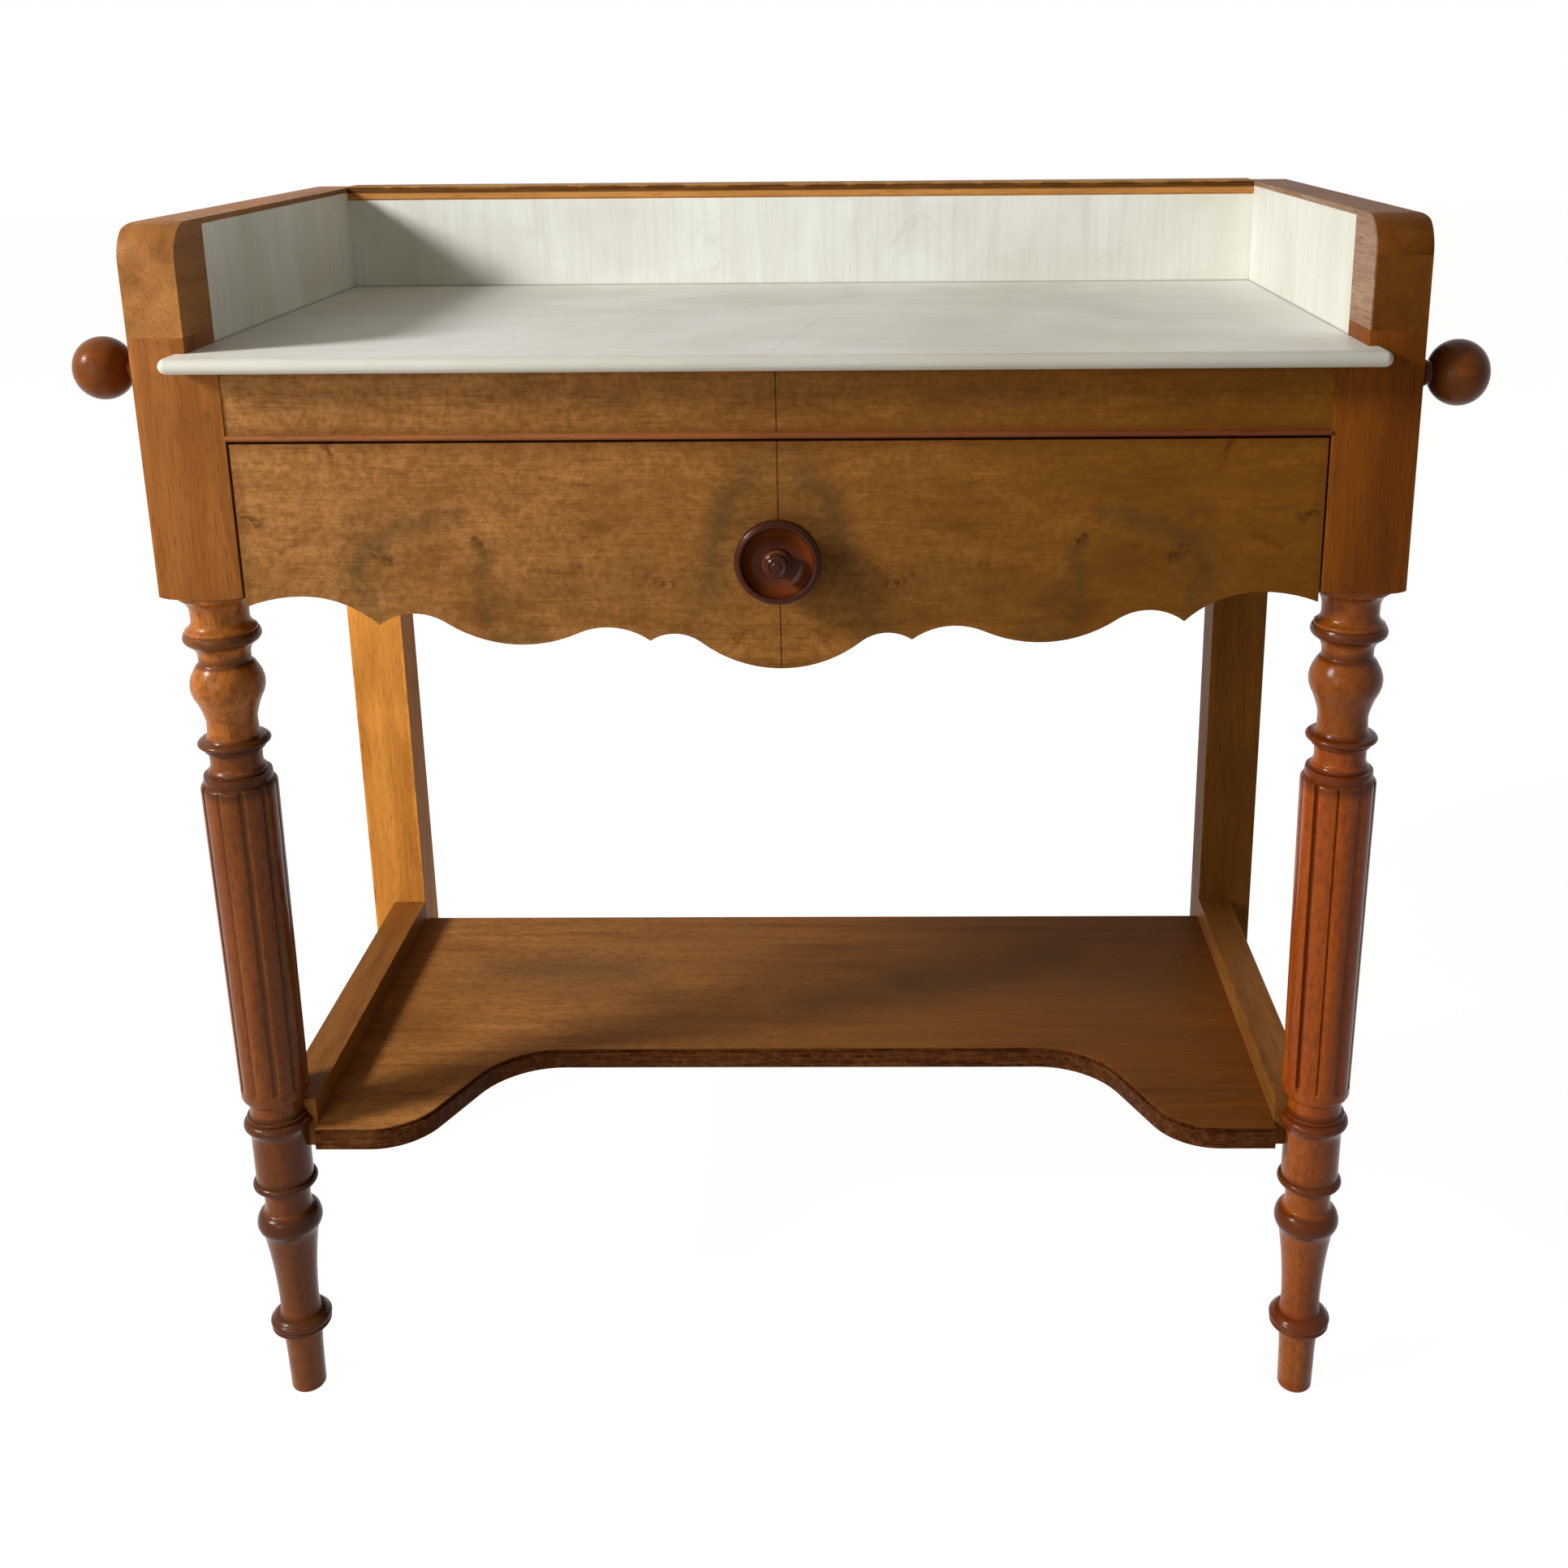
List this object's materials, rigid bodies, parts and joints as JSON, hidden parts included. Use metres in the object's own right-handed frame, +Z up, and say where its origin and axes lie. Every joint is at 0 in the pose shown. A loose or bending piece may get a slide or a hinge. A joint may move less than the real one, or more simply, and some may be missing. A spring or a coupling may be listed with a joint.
{
  "type": "washstand",
  "caption": "Wooden washstand with a marble top inside a low gallery, a scalloped drawer, pull-out towel rods, turned and reeded front legs and a low shelf.",
  "frame": {"origin": "middle of the whole piece's box on the floor, with the left towel rod standing out a little", "axes": "+X to the right along the front, +Y from the front to the back, +Z up"},
  "size_m": [0.92, 0.4176, 0.868],
  "materials": {
    "honey_wood": "waxed satin",
    "brown_wood": "waxed satin",
    "shaded_wood": "old and matt",
    "inner_wood": "bare",
    "dark_wood": "polished",
    "marble": "honed",
    "screw_steel": "dull"
  },
  "bodies": {
    "carcass": {"leg_front_left": "honey_wood", "leg_front_right": "brown_wood", "leg_back_left": "inner_wood", "leg_back_right": "shaded_wood", "side_rail_left": "honey_wood", "side_rail_right": "brown_wood", "back_rail": "shaded_wood", "frieze_rail": "brown_wood", "cock_bead": "brown_wood", "marble_top": "marble", "marble_back": "marble", "marble_side_left": "marble", "marble_side_right": "marble", "gallery_side_left": "honey_wood", "gallery_side_right": "brown_wood", "gallery_back_board": "shaded_wood", "gallery_back_rail": "brown_wood", "gallery_dowels": "inner_wood", "back_board_screws": "screw_steel", "shelf": "brown_wood", "stretcher_left": "brown_wood", "stretcher_right": "shaded_wood", "drawer_runner_left": "inner_wood", "drawer_runner_right": "inner_wood", "drawer_guide_left": "inner_wood", "drawer_guide_right": "inner_wood", "drawer_kicker_left": "inner_wood", "drawer_kicker_right": "inner_wood", "drawer_stops": "inner_wood", "rod_bearer_left": "inner_wood", "rod_bearer_right": "inner_wood"},
    "drawer": {"drawer_front": "brown_wood", "drawer_side_left": "inner_wood", "drawer_side_right": "inner_wood", "drawer_back": "inner_wood", "drawer_bottom": "inner_wood", "drawer_knob": "dark_wood"},
    "left_rod": {"towel_rod_left": "inner_wood", "rod_knob_left": "dark_wood", "rod_pin_left": "screw_steel"},
    "right_rod": {"towel_rod_right": "inner_wood", "rod_knob_right": "dark_wood", "rod_pin_right": "screw_steel"}
  },
  "joints": [
    {"name": "drawer_slide", "type": "slide", "parent": "carcass", "child": "drawer", "axis": [0, -1, 0], "range_m": [0, 0.25]},
    {"name": "left_rod_slide", "type": "slide", "parent": "carcass", "child": "left_rod", "axis": [-1, 0, 0], "range_m": [-0.023, 0.227]},
    {"name": "right_rod_slide", "type": "slide", "parent": "carcass", "child": "right_rod", "axis": [1, 0, 0], "range_m": [0, 0.25]}
  ]
}
